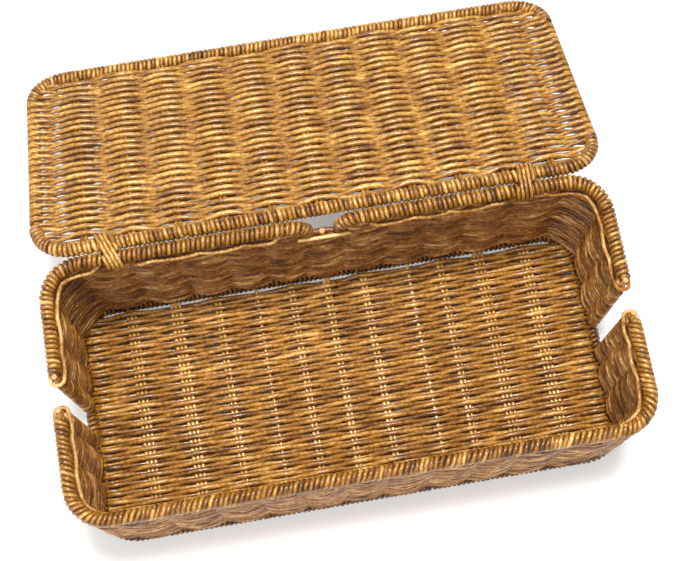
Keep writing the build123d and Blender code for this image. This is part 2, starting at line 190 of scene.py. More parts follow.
# ------------------------------------------------------------------------------- cords
class Skein:
    """Cords gathered into one piece. Each cord is a round tube with closed ends."""

    def __init__(self):
        self.points, self.tones, self.faces, self.uvs = [], [], [], []
        self.count = 0

    def lay_woven(self, line, heights, cord, beside, **finish):
        """Lays a woven cord: fuller over a stake, where it is pressed against the rows beside it. It gets
        painted light on top over a stake and painted shade where it dips under its neighbours, and the
        painted shade on its touching sides is strongest over a stake.
        """
        over = np.abs(heights)
        pressed = np.outer(0.65 + 0.35 * over, beside)
        self.lay(line, cord * (0.97 + 0.15 * over), shade=0.14 * (over - 0.6), beside=pressed, **finish)

    def lay(self, line, radius, sides=7, tone=0.5, own=0.1, patch=0.15, shade=0.0, beside=(0, 0, 0)):
        """Lays one cord along a line. Its tone has a part of its own and changes along it.

        Painted shade darkens it on the sides that touch its neighbours, which lie beside it that way; shade
        adds painted light or painted shade along it.
        """
        line = np.asarray(line, float)
        count = len(line)
        ahead = np.gradient(line, axis=0)
        ahead /= np.linalg.norm(ahead, axis=1)[:, None]
        # any way that no cord sets out in
        normal = np.cross(ahead[0], (0.31, 0.22, 0.92))
        normals = np.empty_like(line)
        for i in range(count):
            normal = normal - ahead[i] * (normal @ ahead[i])
            normal /= np.linalg.norm(normal)
            normals[i] = normal
        across = np.cross(ahead, normals)
        angles = np.arange(sides) * tau / sides
        ring = (np.cos(angles)[None, :, None] * normals[:, None]
                + np.sin(angles)[None, :, None] * across[:, None])
        radii = np.broadcast_to(np.asarray(radius, float), (count,))
        self.points.append((line[:, None] + ring * radii[:, None, None]).reshape(-1, 3))

        length = np.concatenate([[0], np.cumsum(np.linalg.norm(np.diff(line, axis=0), axis=1))])
        knots = np.arange(0, length[-1] + 2 * PATCH_LENGTH, PATCH_LENGTH)
        patches = chance.normal(tone + chance.normal(0, own), patch, len(knots))
        # painted shade on the sides of the cord that face its neighbours
        touching = np.einsum("ijk,ik->ij", ring, np.broadcast_to(beside, line.shape)) ** 2
        tones = np.interp(length, knots, patches) + shade
        self.tones.append((tones[:, None] - PAINTED_CREVICE_SHADE * touching).ravel())

        here = np.arange(sides)
        after = (here + 1) % sides
        rows = np.arange(count - 1)
        start = self.count + rows[:, None] * sides
        end = start + sides
        quads = np.stack([start + here, start + after, end + after, end + here], -1)
        self.faces.extend(quads.reshape(-1, 4).tolist())
        # the cord's own map: a given length along it to one unit, and once round it to one unit
        shift = chance.uniform(0, 50)
        along = length / MAP_LENGTH + shift
        u0, u1 = along[:-1, None] + 0.0 * here, along[1:, None] + 0.0 * here
        v0 = np.broadcast_to(here / sides, u0.shape)
        v1 = v0 + 1 / sides
        self.uvs.append(np.stack([u0, v0, u0, v1, u1, v1, u1, v0], -1).reshape(-1, 2))
        self.faces.append((self.count + here[::-1]).tolist())
        self.faces.append((self.count + (count - 1) * sides + here).tolist())
        self.uvs.append(np.tile([[shift, 0.5]], (2 * sides, 1)))
        self.count += count * sides

    def piece(self, name, body, slot, material, *nodes):
        """Makes the piece in its place, riding on a body and standing for CAD nodes."""
        mesh = bpy.data.meshes.new(name)
        mesh.from_pydata((np.concatenate(self.points) * MM).tolist(), [], self.faces)
        shades = mesh.attributes.new("tone", "FLOAT", "POINT")
        shades.data.foreach_set("value", np.concatenate(self.tones).astype(np.float32))
        skin = mesh.uv_layers.new(name="cord")
        skin.data.foreach_set("uv", np.concatenate(self.uvs).astype(np.float32).ravel())
        mesh.materials.append(material)
        mesh.shade_smooth()
        thing = bpy.data.objects.new(name, mesh)
        bpy.context.scene.collection.objects.link(thing)
        settle(thing, body, slot, *nodes)


def settle(thing, body, slot, *nodes):
    """Says what a finished piece rides on and what it stands for, and hides those CAD nodes; the slot is not
    used.
    """
    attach(thing, body)
    if nodes:
        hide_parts(*nodes)


def wave(places, crossings, sides, halves):
    """A cord's height from -1 to 1: level over half a stake's width, and crossing between stakes."""
    k = np.clip(np.searchsorted(crossings, places) - 1, 0, len(crossings) - 2)
    halves, sides = np.asarray(halves), np.asarray(sides)
    start, end = crossings[k] + halves[k], crossings[k + 1] - halves[k + 1]
    share = np.clip((places - start) / (end - start), 0, 1)
    return sides[k] * np.cos(pi * share)


def stops_between(crossings, count=8):
    """Places along a row, the same number from each stake to the next."""
    stops = [np.linspace(a, b, count, endpoint=False) for a, b in zip(crossings[:-1], crossings[1:])]
    return np.append(np.concatenate(stops), crossings[-1])


def wander(places, size, every=40.0):
    """A random sway along a row, which changes over a given length."""
    knots = np.arange(min(places) - every, max(places) + 2 * every, every)
    return np.interp(places, knots, chance.normal(0, size, len(knots)))


# ------------------------------------------------------------------------------- walls
def rise(z):
    """How far up the wall a height lies, from 0 at the hoop to 1 at the rim."""
    return (z - HOOP_HEIGHT) / (RIM_HEIGHT - HOOP_HEIGHT)


def half_length(z):
    """Half the distance between the two end walls at a height."""
    return (BASE_LENGTH + (RIM_LENGTH - BASE_LENGTH) * rise(z)) / 2


def half_depth(z):
    """Half the distance between the front and back walls at a height."""
    return (BASE_DEPTH + (RIM_DEPTH - BASE_DEPTH) * rise(z)) / 2


def half_wall(z):
    """Lengths of the side, the bend and the long part of half the wall, from slot to slot."""
    return half_depth(z) - CORNER - POST, CORNER * pi / 2, 2 * (half_length(z) - CORNER)


def wall_point(s, offset, z, end):
    """A point of the front (end -1) or back (end 1) half wall, at s along it from the left slot."""
    side, bend, long = half_wall(z)
    total = 2 * (side + bend) + long
    flip = 1.0
    if s > total / 2:
        s, flip = total - s, -1.0
    x_end, y_end = half_length(z), half_depth(z)
    if s < side:
        x, y, nx, ny = -x_end, POST + s, -1.0, 0.0
    elif s < side + bend:
        nx, ny = -cos((s - side) / CORNER), sin((s - side) / CORNER)
        x, y = -x_end + CORNER + CORNER * nx, y_end - CORNER + CORNER * ny
    else:
        x, y, nx, ny = -x_end + CORNER + (s - side - bend), y_end, 0.0, 1.0
    return (flip * (x + nx * offset), end * (y + ny * offset), z)


def wall_crossings(z):
    """Where each stake of a half wall stands along it, from slot post to slot post."""
    side, bend, long = half_wall(z)
    total = 2 * (side + bend) + long
    left = [0.0] + [place - POST for place in SIDE_STAKES] + [side + bend / 2]
    fan = (half_length(z) - CORNER) / (BASE_LENGTH / 2 - CORNER)
    middle = [total / 2 + place * fan for place in STAKES]
    return np.array(left + middle + [total - place for place in reversed(left)])


FIRST_ROW, ROWS_STOP = 8.9, 97.5
row_levels = np.arange(FIRST_ROW, ROWS_STOP, ROW_PITCH)
SIDEWAYS, BACKWARDS, UPWARDS = (1, 0, 0), (0, 1, 0), (0, 0, 1)
# back rows dip near a tie: how deep at the top, how near, from what height, and over what rise
DIP_DEPTH, DIP_REACH, DIP_FROM, DIP_RISE = 3.4, 17.0, 60.0, 37.0
# a row's straying fades out over this length at its ends
STRAY_FADE = 15.0


def dip_under_tie(x, z, end):
    """How far a back row is pressed down to make room for a tie's loops."""
    dip = 0.0
    if end > 0 and z > DIP_FROM:
        for place, _ in TIES.values():
            near = max(0.0, 1 - abs(x - place) / DIP_REACH)
            dip += DIP_DEPTH * (z - DIP_FROM) / DIP_RISE * near * near * (3 - 2 * near)
    return dip


def wall_row(level, index, end):
    """One row of a half wall, from the left slot to the right one, with its heights."""
    crossings = wall_crossings(level)
    places = stops_between(crossings)
    sides = [(-1) ** (index + k) for k in range(len(crossings))]
    heights = wave(places, crossings, sides, np.zeros(len(crossings)))
    # the cord is springy: it strays up and down as well as in and out
    lift = wander(places, 0.2) + wander(places, 0.3, every=7.0)
    swell = 1 + wander(places, 0.06) + wander(places, 0.18, every=7.0)
    ease = np.minimum(1.0, np.minimum(places, crossings[-1] - places) / STRAY_FADE)
    points = []
    for place, height, up, more in zip(places, heights, lift * ease, 1 + (swell - 1) * ease):
        x, y, z = wall_point(place, WALL_REACH * height * more, level, end)
        points.append((x, y, z + up - dip_under_tie(x, z, end)))
    return points, heights


def turn_round_post(level, next_level, end, left, side):
    """A cord's half turn round a slot post, from one row up to the next."""
    points = []
    for share in (0.17, 0.33, 0.5, 0.67, 0.83):
        z = level + (next_level - level) * share
        x = half_length(z) + side * WALL_REACH * cos(pi * share)
        points.append(((-x if left else x), end * (POST - WALL_REACH * sin(pi * share)), z))
    return points


def weave_half(end):
    """All the rows of a half wall, as one cord that turns back at each slot."""
    skein = Skein()
    line, heights = [], []
    for index, level in enumerate(row_levels):
        row, row_heights = wall_row(level, index, end)
        if end > 0 and level > NOTCH_FLOOR:
            # above the notch's floor each row ends inside the bend of the rim
            inside = NOTCH_BEND - WALL_CORD - 1
            over = max(0.0, inside**2 - (level - RIM_HEIGHT + NOTCH_BEND) ** 2) ** 0.5
            clear = NOTCH + NOTCH_BEND - over
            for way in (-1, 1):
                kept = [i for i, point in enumerate(row) if way * point[0] > clear]
                skein.lay_woven([row[i] for i in kept], row_heights[kept], WALL_CORD, patch=0.24,
                                beside=UPWARDS)
            continue
        leftwards = index % 2 == 1
        line += row[::-1] if leftwards else row
        heights += list(row_heights[::-1] if leftwards else row_heights)
        last = index + 1 == len(row_levels) or (end > 0 and row_levels[index + 1] > NOTCH_FLOOR)
        if not last:
            post = 0 if leftwards else len(wall_crossings(level)) - 1
            turn = turn_round_post(level, row_levels[index + 1], end, leftwards, (-1) ** (index + post))
            line += turn
            heights += [0.8] * len(turn)
    skein.lay_woven(line, heights, WALL_CORD, own=0.0, patch=0.24, beside=UPWARDS)
    return skein


BORDER_OUT, BORDER_HIGH, BORDER_SAG = 4.5, 98.4, 4.6
# its hook: places along the wall, how far round the post it reaches, and how much lower it starts
HOOK_PLACES, HOOK_REACH, HOOK_DROP = (9.0, 5.0, 1.5), 3.6, 2.0
# where it stops for a tie or the notch, its end goes back and up by so much over this length
TUCK_BACK, TUCK_UP, TUCK_LENGTH = 2.6, 2.8, 7.0


def hang_border(skein, end):
    """The last cord, hung in arcs inside the wall under the rim and hooked round the slot posts."""
    crossings = wall_crossings(BORDER_HIGH)
    places = stops_between(crossings)
    spans = np.clip(np.searchsorted(crossings, places, side="right") - 1, 0, len(crossings) - 2)
    share = (places - crossings[spans]) / (crossings[spans + 1] - crossings[spans])
    sag = BORDER_SAG * np.sin(pi * share) * (0.6 + 0.5 * chance.random(len(crossings))[spans])
    points = [wall_point(s, -BORDER_OUT, BORDER_HIGH - low, end) for s, low in zip(places, sag)]
    hook = [wall_point(s, BORDER_OUT, BORDER_HIGH - HOOK_DROP, end) for s in HOOK_PLACES]
    for share in (0.2, 0.4, 0.6, 0.8):
        x = half_length(BORDER_HIGH) + BORDER_OUT * cos(pi * share)
        y = POST - HOOK_REACH * sin(pi * share)
        hook.append((-x, end * y, BORDER_HIGH - HOOK_DROP + HOOK_DROP * share))
    mirrored = [(-x, y, z) for x, y, z in reversed(hook)]
    line = np.array(hook + points + mirrored)
    keep = np.ones(len(line), bool)
    if end > 0:
        # it leaves room for the ties and the notch, and its ends are tucked up under the rim
        rooms = [(place, TIE_ROOM) for place, _ in TIES.values()] + [(0.0, NOTCH + NOTCH_BEND + 2)]
        for place, room in rooms:
            beyond = abs(line[:, 0] - place) - room
            keep &= beyond > 0
            fade = np.clip(1 - beyond / TUCK_LENGTH, 0, 1)
            tucked = np.where(line[:, 1] > half_depth(BORDER_HIGH) - CORNER, fade, 0)
            line[:, 1] += TUCK_BACK * tucked
            line[:, 2] += TUCK_UP * tucked
    first = 0
    for i in range(1, len(line) + 1):
        if i == len(line) or keep[i] != keep[first]:
            if keep[first] and i - first > 3:
                skein.lay(line[first:i], BORDER_CORD, tone=0.66)
            first = i


front_weave = weave_half(-1)
hang_border(front_weave, -1)
front_weave.piece("front_wall_cords", "box", "weave_cord", wall_reed,
                  "front_wall_weave", "corner_weave", "left_front_wall_weave", "right_front_wall_weave")
back_weave = weave_half(1)
hang_border(back_weave, 1)
# the cord that crosses the notch below the short stake, a little lower in its middle
ACROSS_HALF, ACROSS_IN, ACROSS_UP, ACROSS_BEND = 17.0, 4.2, 0.3, 0.004
across_notch = [(x, HINGE_Y - ACROSS_IN, NOTCH_FLOOR + ACROSS_UP + ACROSS_BEND * x * x)
                for x in np.linspace(-ACROSS_HALF, ACROSS_HALF, 12)]
back_weave.lay(across_notch, BORDER_CORD, tone=0.85)
back_weave.piece("back_wall_cords", "box", "weave_cord", wall_reed,
                 "back_wall_weave", "corner_weave", "left_back_wall_weave", "right_back_wall_weave")


# ------------------------------------------------------------------- reeds, cut to length
# faces round a reed, and how far its sawn edge is rounded
REED_SIDES, SAWN_EDGE = 12, 0.3
# how far stakes stop above the hoop's middle and below the rim's
FOOT_UP, HEAD_DOWN = 2.0, 2.2
# how far the short stake stands above the notch's floor, and the posts above the rim's middle
SHORT_UP, POST_UP = 2.6, 2.9


def cut_reed(length, radius):
    """One straight reed standing on the origin, its sawn edges rounded and its ends bare."""
    bpy.ops.object.select_all(action="DESELECT")
    bpy.ops.mesh.primitive_cylinder_add(vertices=REED_SIDES, radius=radius * MM, depth=length * MM,
                                        location=(0, 0, length * MM / 2))
    reed = bpy.context.object
    reed.data.materials.append(stick_reed)
    reed.data.materials.append(end_grain)
    bpy.ops.object.transform_apply(location=True, rotation=False, scale=False)
    bpy.ops.object.mode_set(mode="EDIT")
    bpy.ops.mesh.select_all(action="DESELECT")
    bpy.ops.mesh.select_face_by_sides(number=REED_SIDES)
    bpy.ops.mesh.bevel(offset=SAWN_EDGE * MM, segments=2)
    bpy.ops.mesh.select_all(action="DESELECT")
    bpy.ops.mesh.select_face_by_sides(number=REED_SIDES)
    reed.active_material_index = 1
    bpy.ops.object.material_slot_assign()
    bpy.ops.mesh.inset(thickness=0.45 * radius * MM)
    bpy.ops.transform.resize(value=(0.9, 0.9, 1.0))
    bpy.ops.object.mode_set(mode="OBJECT")
    bpy.ops.object.shade_smooth_by_angle(angle=radians(40))
    return reed


def stand_reeds(name, body, master, feet_and_heads, *nodes, tone=0.6):
    """Copies a reed to each place, each copy with its own mesh, and joins them into one piece."""
    copies = []
    for foot, head in feet_and_heads:
        foot, head = Vector(foot) * MM, Vector(head) * MM
        reed = bpy.data.objects.new(name, master.data.copy())
        bpy.context.scene.collection.objects.link(reed)
        turn = (head - foot).to_track_quat("Z", "Y").to_matrix().to_4x4()
        reed.matrix_world = Matrix.Translation(foot) @ turn
        shades = reed.data.attributes.new("tone", "FLOAT", "POINT")
        own_tone = chance.normal(tone, 0.12)
        shades.data.foreach_set("value", np.full(len(reed.data.vertices), own_tone, np.float32))
        copies.append(reed)
    bpy.data.objects.remove(master)
    bpy.context.view_layer.update()
    bpy.ops.object.select_all(action="DESELECT")
    for reed in copies:
        reed.select_set(True)
    bpy.context.view_layer.objects.active = copies[0]
    if len(copies) > 1:
        bpy.ops.object.join()
    joined = bpy.context.object
    joined.name = name
    bpy.ops.object.transform_apply(location=True, rotation=True, scale=True)
    settle(joined, body, "stakes", *nodes)


def wall_stakes(end, chosen, low, high):
    """Foot and head of chosen stakes of a half wall."""
    feet, heads = wall_crossings(low), wall_crossings(high)
    return [(wall_point(feet[k], 0.0, low, end), wall_point(heads[k], 0.0, high, end)) for k in chosen]


def leaning(pair):
    """Length of a leaning stake, from its foot to its head."""
    return (Vector(pair[1]) - Vector(pair[0])).length


count = len(wall_crossings(HOOP_HEIGHT))
foot, head = HOOP_HEIGHT + FOOT_UP, RIM_HEIGHT - HEAD_DOWN
long_wall = range(4, count - 4)
middle_stake = count // 2
front = wall_stakes(-1, long_wall, foot, head)
stand_reeds("front_wall_reeds", "box", cut_reed(leaning(front[0]), STAKE), front, "front_wall_stakes")
back = wall_stakes(1, [k for k in long_wall if k != middle_stake], foot, head)
stand_reeds("back_wall_reeds", "box", cut_reed(leaning(back[0]), STAKE), back, "back_wall_stakes")
short = wall_stakes(1, [middle_stake], foot, NOTCH_FLOOR + SHORT_UP)
stand_reeds("notch_reed", "box", cut_reed(leaning(short[0]), NOTCH_REED), short, tone=0.4)


def both_halves(chosen, high):
    """Foot and head of chosen stakes of the front half and of the back half."""
    return wall_stakes(-1, chosen, foot, high) + wall_stakes(1, chosen, foot, high)


left = both_halves((1, 2), head)
stand_reeds("left_wall_reeds", "box", cut_reed(leaning(left[0]), STAKE), left, "left_wall_stakes")
right = both_halves((count - 3, count - 2), head)
stand_reeds("right_wall_reeds", "box", cut_reed(leaning(right[0]), STAKE), right, "right_wall_stakes")
corners = both_halves((3, count - 4), head)
stand_reeds("corner_reeds", "box", cut_reed(leaning(corners[0]), STAKE), corners, "corner_stakes")
posts = both_halves((0, count - 1), RIM_HEIGHT + POST_UP)
stand_reeds("slot_post_reeds", "box", cut_reed(leaning(posts[0]), POST_REED), posts, "slot_posts", tone=0.45)

# -------------------------------------------------------------------------------- base
BASE_MIDDLE, BASE_ROWS = 4.2, 50
# the rows lie a little nearer to the front, and their ends reach this far from the hoop's middle
BASE_TO_FRONT, BASE_TUCK = 0.6, 2.4
STICK_GAP, STICK_END = 2.7, 3.5
# the last crossing lies this far inside the hoop, and a row flattens over this length at its ends
CROSSING_IN, END_FADE = 7.5, 5.0
half_stick = BASE_DEPTH / 2 - STICK_END
sticks, stick_halves = [], []
for place, together in zip(STAKES, STICKS):
    stick_halves.append((together - 1) * STICK_GAP / 2)
    for number in range(together):
        x = place + (number - (together - 1) / 2) * STICK_GAP
        sticks.append(((x, -half_stick, BASE_MIDDLE), (x, half_stick, BASE_MIDDLE)))
stand_reeds("base_reeds", "box", cut_reed(2 * half_stick, STICK), sticks, "base_sticks", tone=0.7)

base_cords = Skein()
beside_ends = BASE_LENGTH / 2 - CROSSING_IN
crossings = np.array([-beside_ends] + list(STAKES) + [beside_ends])
for index in range(BASE_ROWS):
    y = (index - (BASE_ROWS - 1) / 2) * BASE_PITCH - BASE_TO_FRONT
    # each row ends tucked into the hoop's inner side
    into = max(0.0, abs(y) - (BASE_DEPTH / 2 - CORNER))
    reach = BASE_LENGTH / 2 - CORNER + max(0.0, (CORNER - BASE_TUCK) ** 2 - into**2) ** 0.5
    sides = [(-1) ** (index + k) for k in range(len(crossings))]
    places = stops_between(crossings, 7)
    places = np.concatenate([[-reach], places[abs(places) < reach - 0.5], [reach]])
    heights = wave(places, crossings, sides, [0.0] + stick_halves + [0.0])
    heights *= np.clip((reach - abs(places)) / END_FADE, 0.3, 1)
    sway = wander(places, 0.14) + wander(places, 0.2, every=9.0)
    line = np.stack([places, y + sway, BASE_MIDDLE + BASE_REACH * heights], 1)
    base_cords.lay_woven(line, heights, BASE_CORD, beside=BACKWARDS)
base_cords.piece("base_weave_cords", "box", "weave_cord", base_reed, "base_weave")


# ---------------------------------------------------------------------- rims and hoop
def rounded_line(corners, bends, closed=False, step=1.0):
    """Points about a millimetre apart, along straight runs joined by arcs at the corners."""
    corners = [np.array(corner, float) for corner in corners]
    count = len(corners)
    arcs = {}
    for i in (range(count) if closed else range(1, count - 1)):
        before, here, after = corners[i - 1], corners[i], corners[(i + 1) % count]
        a = (before - here) / np.linalg.norm(before - here)
        b = (after - here) / np.linalg.norm(after - here)
        half = np.arccos(np.clip(a @ b, -1, 1)) / 2
        middle = here + (a + b) / np.linalg.norm(a + b) * bends[i] / np.sin(half)
        start, end = here + a * bends[i] / np.tan(half), here + b * bends[i] / np.tan(half)
        u = (start - middle) / bends[i]
        w = (end - middle) - u * ((end - middle) @ u)
        w /= np.linalg.norm(w)
        swept = pi - 2 * half
        angles = np.linspace(0, swept, max(3, int(swept * bends[i] / step)))
        arcs[i] = [middle + bends[i] * (u * cos(t) + w * sin(t)) for t in angles]
    if not closed:
        arcs[0], arcs[count - 1] = [corners[0]], [corners[-1]]
    points = []
    for i in range(count):
        points += arcs[i]
        if closed or i < count - 1:
            start, end = arcs[i][-1], arcs[(i + 1) % count][0]
            runs = max(2, int(np.linalg.norm(end - start) / step))
            points += [start + (end - start) * t for t in np.arange(1, runs) / runs]
    return np.array(points)


# how uneven the turns are along the rod and away from it
UNEVEN_ALONG, UNEVEN_OUT = 0.06, 0.025
# a length of cord lasts from so many turns to fewer than so many
FEWEST_TURNS, MOST_TURNS = 7, 22


def wrap(skein, line, pitch, starts=1, hand=1, closed=False, tone=0.5,
         reach=WRAP_REACH, cord=WRAP_CORD, trim=0.0):
    """Winds cords round a rod's line, a pitch apart; starts is how many are wound side by side."""
    if closed:
        line = np.vstack([line, line[:1]])
    length = np.concatenate([[0], np.cumsum(np.linalg.norm(np.diff(line, axis=0), axis=1))])
    ahead = np.gradient(line, axis=0)
    if closed:
        ahead[0] = ahead[-1] = line[1] - line[-2]
    ahead /= np.linalg.norm(ahead, axis=1)[:, None]
    normal = np.cross(ahead[0], (0, 0.05, 1.0))
    normals = np.empty_like(line)
    for i in range(len(line)):
        normal = normal - ahead[i] * (normal @ ahead[i])
        normal /= np.linalg.norm(normal)
        normals[i] = normal
    total = length[-1] - 2 * trim
    turns = max(1, round(total / (pitch * starts)))
    around = 14
    # the turns aren't quite even, and cords wound together stray together
    knots = np.arange(turns + 1) / turns
    stray = np.concatenate([[0], chance.normal(0, UNEVEN_ALONG / turns, turns - 1), [0]])
    for number in range(starts):
        share = np.linspace(0, 1, turns * around + 1)
        at = trim + total * np.interp(share, knots, knots + stray)
        place, n, t = (np.stack([np.interp(at, length, rows[:, i]) for i in range(3)], 1)
                       for rows in (line, normals, ahead))
        b = np.cross(t, n)
        angle = hand * tau * (turns * share + number / starts)
        out = reach * (1 + np.interp(share, knots, chance.normal(0, UNEVEN_OUT, turns + 1)))
        outward = np.cos(angle)[:, None] * n + np.sin(angle)[:, None] * b
        coil = place + out[:, None] * outward
        next_turn = np.cross(np.gradient(coil, axis=0), outward)
        next_turn /= np.linalg.norm(next_turn, axis=1)[:, None]
        # one length of cord runs out after some turns, and another is laid in
        first = 0
        while first < turns:
            last = min(turns, first + int(chance.integers(FEWEST_TURNS, MOST_TURNS)))
            kept = slice(first * around, last * around + 1)
            # painted shade where each turn touches the next
            skein.lay(coil[kept], cord, tone=tone, own=0.07, patch=0.17, beside=1.15 * next_turn[kept])
            first = last


def lift_rod(name, body, start, runs, closed):
    """A round rod drawn out along its runs and bent between them, with sawn ends.

    A run is ("draw", (x, y, z)) or ("bend", (centre), (axis), degrees).
    """
    bpy.ops.object.select_all(action="DESELECT")
    place, facing = start
    fill = "NOTHING" if closed else "NGON"
    bpy.ops.mesh.primitive_circle_add(vertices=REED_SIDES, radius=ROD * MM, fill_type=fill,
                                      location=Vector(place) * MM, rotation=facing)
    rod = bpy.context.object
    rod.name = name
    bpy.ops.object.transform_apply(location=True, rotation=True, scale=True)
    bpy.ops.object.mode_set(mode="EDIT")
    bpy.ops.mesh.select_all(action="SELECT")
    for kind, *how in runs:
        if kind == "draw":
            bpy.ops.mesh.extrude_region_move(TRANSFORM_OT_translate={"value": Vector(how[0]) * MM})
        else:
            centre, axis, degrees = how
            # the spin tool counts its angle the other way round its axis
            bpy.ops.mesh.spin(steps=8, angle=-radians(degrees), center=Vector(centre) * MM, axis=axis)
    bpy.ops.mesh.select_all(action="SELECT")
    bpy.ops.mesh.remove_doubles(threshold=0.02 * MM)
    bpy.ops.mesh.normals_make_consistent(inside=False)
    if not closed:
        bpy.ops.mesh.select_all(action="DESELECT")
        bpy.ops.mesh.select_face_by_sides(number=REED_SIDES)
        bpy.ops.mesh.bevel(offset=SAWN_EDGE * MM, segments=2)
        bpy.ops.mesh.select_all(action="DESELECT")
        bpy.ops.mesh.select_face_by_sides(number=REED_SIDES)
    rod.data.materials.append(stick_reed)
    rod.data.materials.append(end_grain)
    rod.active_material_index = 1
    if not closed:
        bpy.ops.object.material_slot_assign()
    bpy.ops.object.mode_set(mode="OBJECT")
    bpy.ops.object.shade_smooth_by_angle(angle=radians(40))
    if not rod.data.uv_layers:
        rod.data.uv_layers.new(name="UVMap")
    shades = rod.data.attributes.new("tone", "FLOAT", "POINT")
    shades.data.foreach_set("value", np.full(len(rod.data.vertices), 0.4, np.float32))
    settle(rod, body, "stakes")


x_hoop, y_hoop = BASE_LENGTH / 2, BASE_DEPTH / 2
hoop = rounded_line([(x_hoop, -y_hoop, HOOP_HEIGHT), (x_hoop, y_hoop, HOOP_HEIGHT),
                     (-x_hoop, y_hoop, HOOP_HEIGHT), (-x_hoop, -y_hoop, HOOP_HEIGHT)],
                    [CORNER] * 4, closed=True)
hoop_cord = Skein()
# the hoop's turns take a low tone: painted shade for the foot of the walls, where little light reaches
wrap(hoop_cord, hoop, HOOP_TURN, closed=True, reach=HOOP_REACH, cord=HOOP_CORD, tone=0.3)
hoop_cord.piece("bottom_hoop_wrap", "box", "rim_cord", rim_reed, "bottom_hoop")

# the rods end against the posts, and their windings stop short of the rods' ends
rim_end = POST + STAKE + 0.2
trimmed, trimmed_more = 1.6, 1.5
FRONT_CORD = 1.56
# how far above the notch's floor the back rims' winding lines and rods stop
WINDING_STOP, ROD_STOP = 0.4, 0.6
x_rim, y_rim = RIM_LENGTH / 2, RIM_DEPTH / 2
front_line = rounded_line([(-x_rim, -rim_end, RIM_HEIGHT), (-x_rim, -y_rim, RIM_HEIGHT),
                           (x_rim, -y_rim, RIM_HEIGHT), (x_rim, -rim_end, RIM_HEIGHT)],
                          [0, CORNER, CORNER, 0])
front_rim = Skein()
wrap(front_rim, front_line, FRONT_TURN, starts=3, hand=-1, tone=0.6, cord=FRONT_CORD,
     trim=trimmed + trimmed_more)
front_rim.piece("front_rim_wrap", "box", "rim_cord", rim_reed, "front_rim")
straight = y_rim - CORNER - rim_end
lift_rod("front_rim_rod", "box", ((-x_rim, -rim_end, RIM_HEIGHT), (pi / 2, 0, 0)),
         [("draw", (0, -straight, 0)),
          ("bend", (-x_rim + CORNER, -y_rim + CORNER, RIM_HEIGHT), (0, 0, 1), 90),
          ("draw", (2 * (x_rim - CORNER), 0, 0)),
          ("bend", (x_rim - CORNER, -y_rim + CORNER, RIM_HEIGHT), (0, 0, 1), 90),
          ("draw", (0, straight, 0))], closed=False)

for side, name in ((-1, "left"), (1, "right")):
    line = rounded_line([(side * x_rim, rim_end, RIM_HEIGHT), (side * x_rim, y_rim, RIM_HEIGHT),
                         (side * NOTCH, y_rim, RIM_HEIGHT),
                         (side * NOTCH, y_rim, NOTCH_FLOOR + WINDING_STOP)],
                        [0, CORNER, NOTCH_BEND, 0])
    rim = Skein()
    wrap(rim, line, BACK_TURN, hand=side, tone=0.57, trim=trimmed)
    rim.piece(f"{name}_back_rim_wrap", "box", "rim_cord", rim_reed, f"{name}_back_rim")
    along_back = x_rim - CORNER - NOTCH - NOTCH_BEND
    lift_rod(f"{name}_back_rim_rod", "box", ((side * x_rim, rim_end, RIM_HEIGHT), (pi / 2, 0, 0)),
             [("draw", (0, straight, 0)),
              ("bend", (side * (x_rim - CORNER), y_rim - CORNER, RIM_HEIGHT), (0, 0, 1), side * 90),
              ("draw", (-side * along_back, 0, 0)),
              ("bend", (side * (NOTCH + NOTCH_BEND), y_rim, RIM_HEIGHT - NOTCH_BEND), (0, 1, 0), -side * 90),
              ("draw", (0, 0, -(RIM_HEIGHT - NOTCH_BEND - NOTCH_FLOOR - ROD_STOP)))], closed=False)


# --------------------------------------------------------------------------------- lid
def lid_point(u, v, w):
    """A point of the lid in the box's frame."""
    return (u, HINGE_Y + LINK + v * cos(LID_SLOPE) + w * sin(LID_SLOPE),
            RIM_HEIGHT - v * sin(LID_SLOPE) + w * cos(LID_SLOPE))


def lid_reach(v, inset):
    """Half the lid's width at a distance from its near rod, inside its frame."""
    into = max(0.0, abs(v - LID_DEPTH / 2) - (LID_DEPTH / 2 - CORNER))
    return LID_LENGTH / 2 - CORNER + max(0.0, (CORNER - inset) ** 2 - into**2) ** 0.5


LID_ROWS, LID_FIRST, LID_LAST = 53, 7.3, 153.0
SIDE_REACH = ROD + LID_CORD - 0.45
# short rows end this far inside the frame's middle, and the reeds this far inside its rods
ROW_INSET, REED_INSET = 3.4, 2.0
# half the distance between the reeds of a pair, and half the width over which a row stays level
PAIR_HALF, LEVEL_HALF = 1.35, 1.3
# where slits open between pairs of rows, over what width, and how far the pairs draw together
SLIT_PLACE, SLIT_WIDTH, SLIT_PULL = 161.0, 34.0, 0.75
# how far the first rows arch and the last ones sag, and over what length that fades
NEAR_ARCH, NEAR_FADE = 1.5, 9.0
FAR_SAG, FAR_FADE = 0.9, 7.0
# the frame's windings end this far past its bends, where the rows turn round the side rods
LAP = 1.5
lid_rows_apart = (LID_LAST - LID_FIRST) / (LID_ROWS - 1)
lid_lines = np.array([k * LID_PITCH for k in range(-6, 7)])
lid_halves = [0.0] + [LEVEL_HALF] * 11 + [0.0]


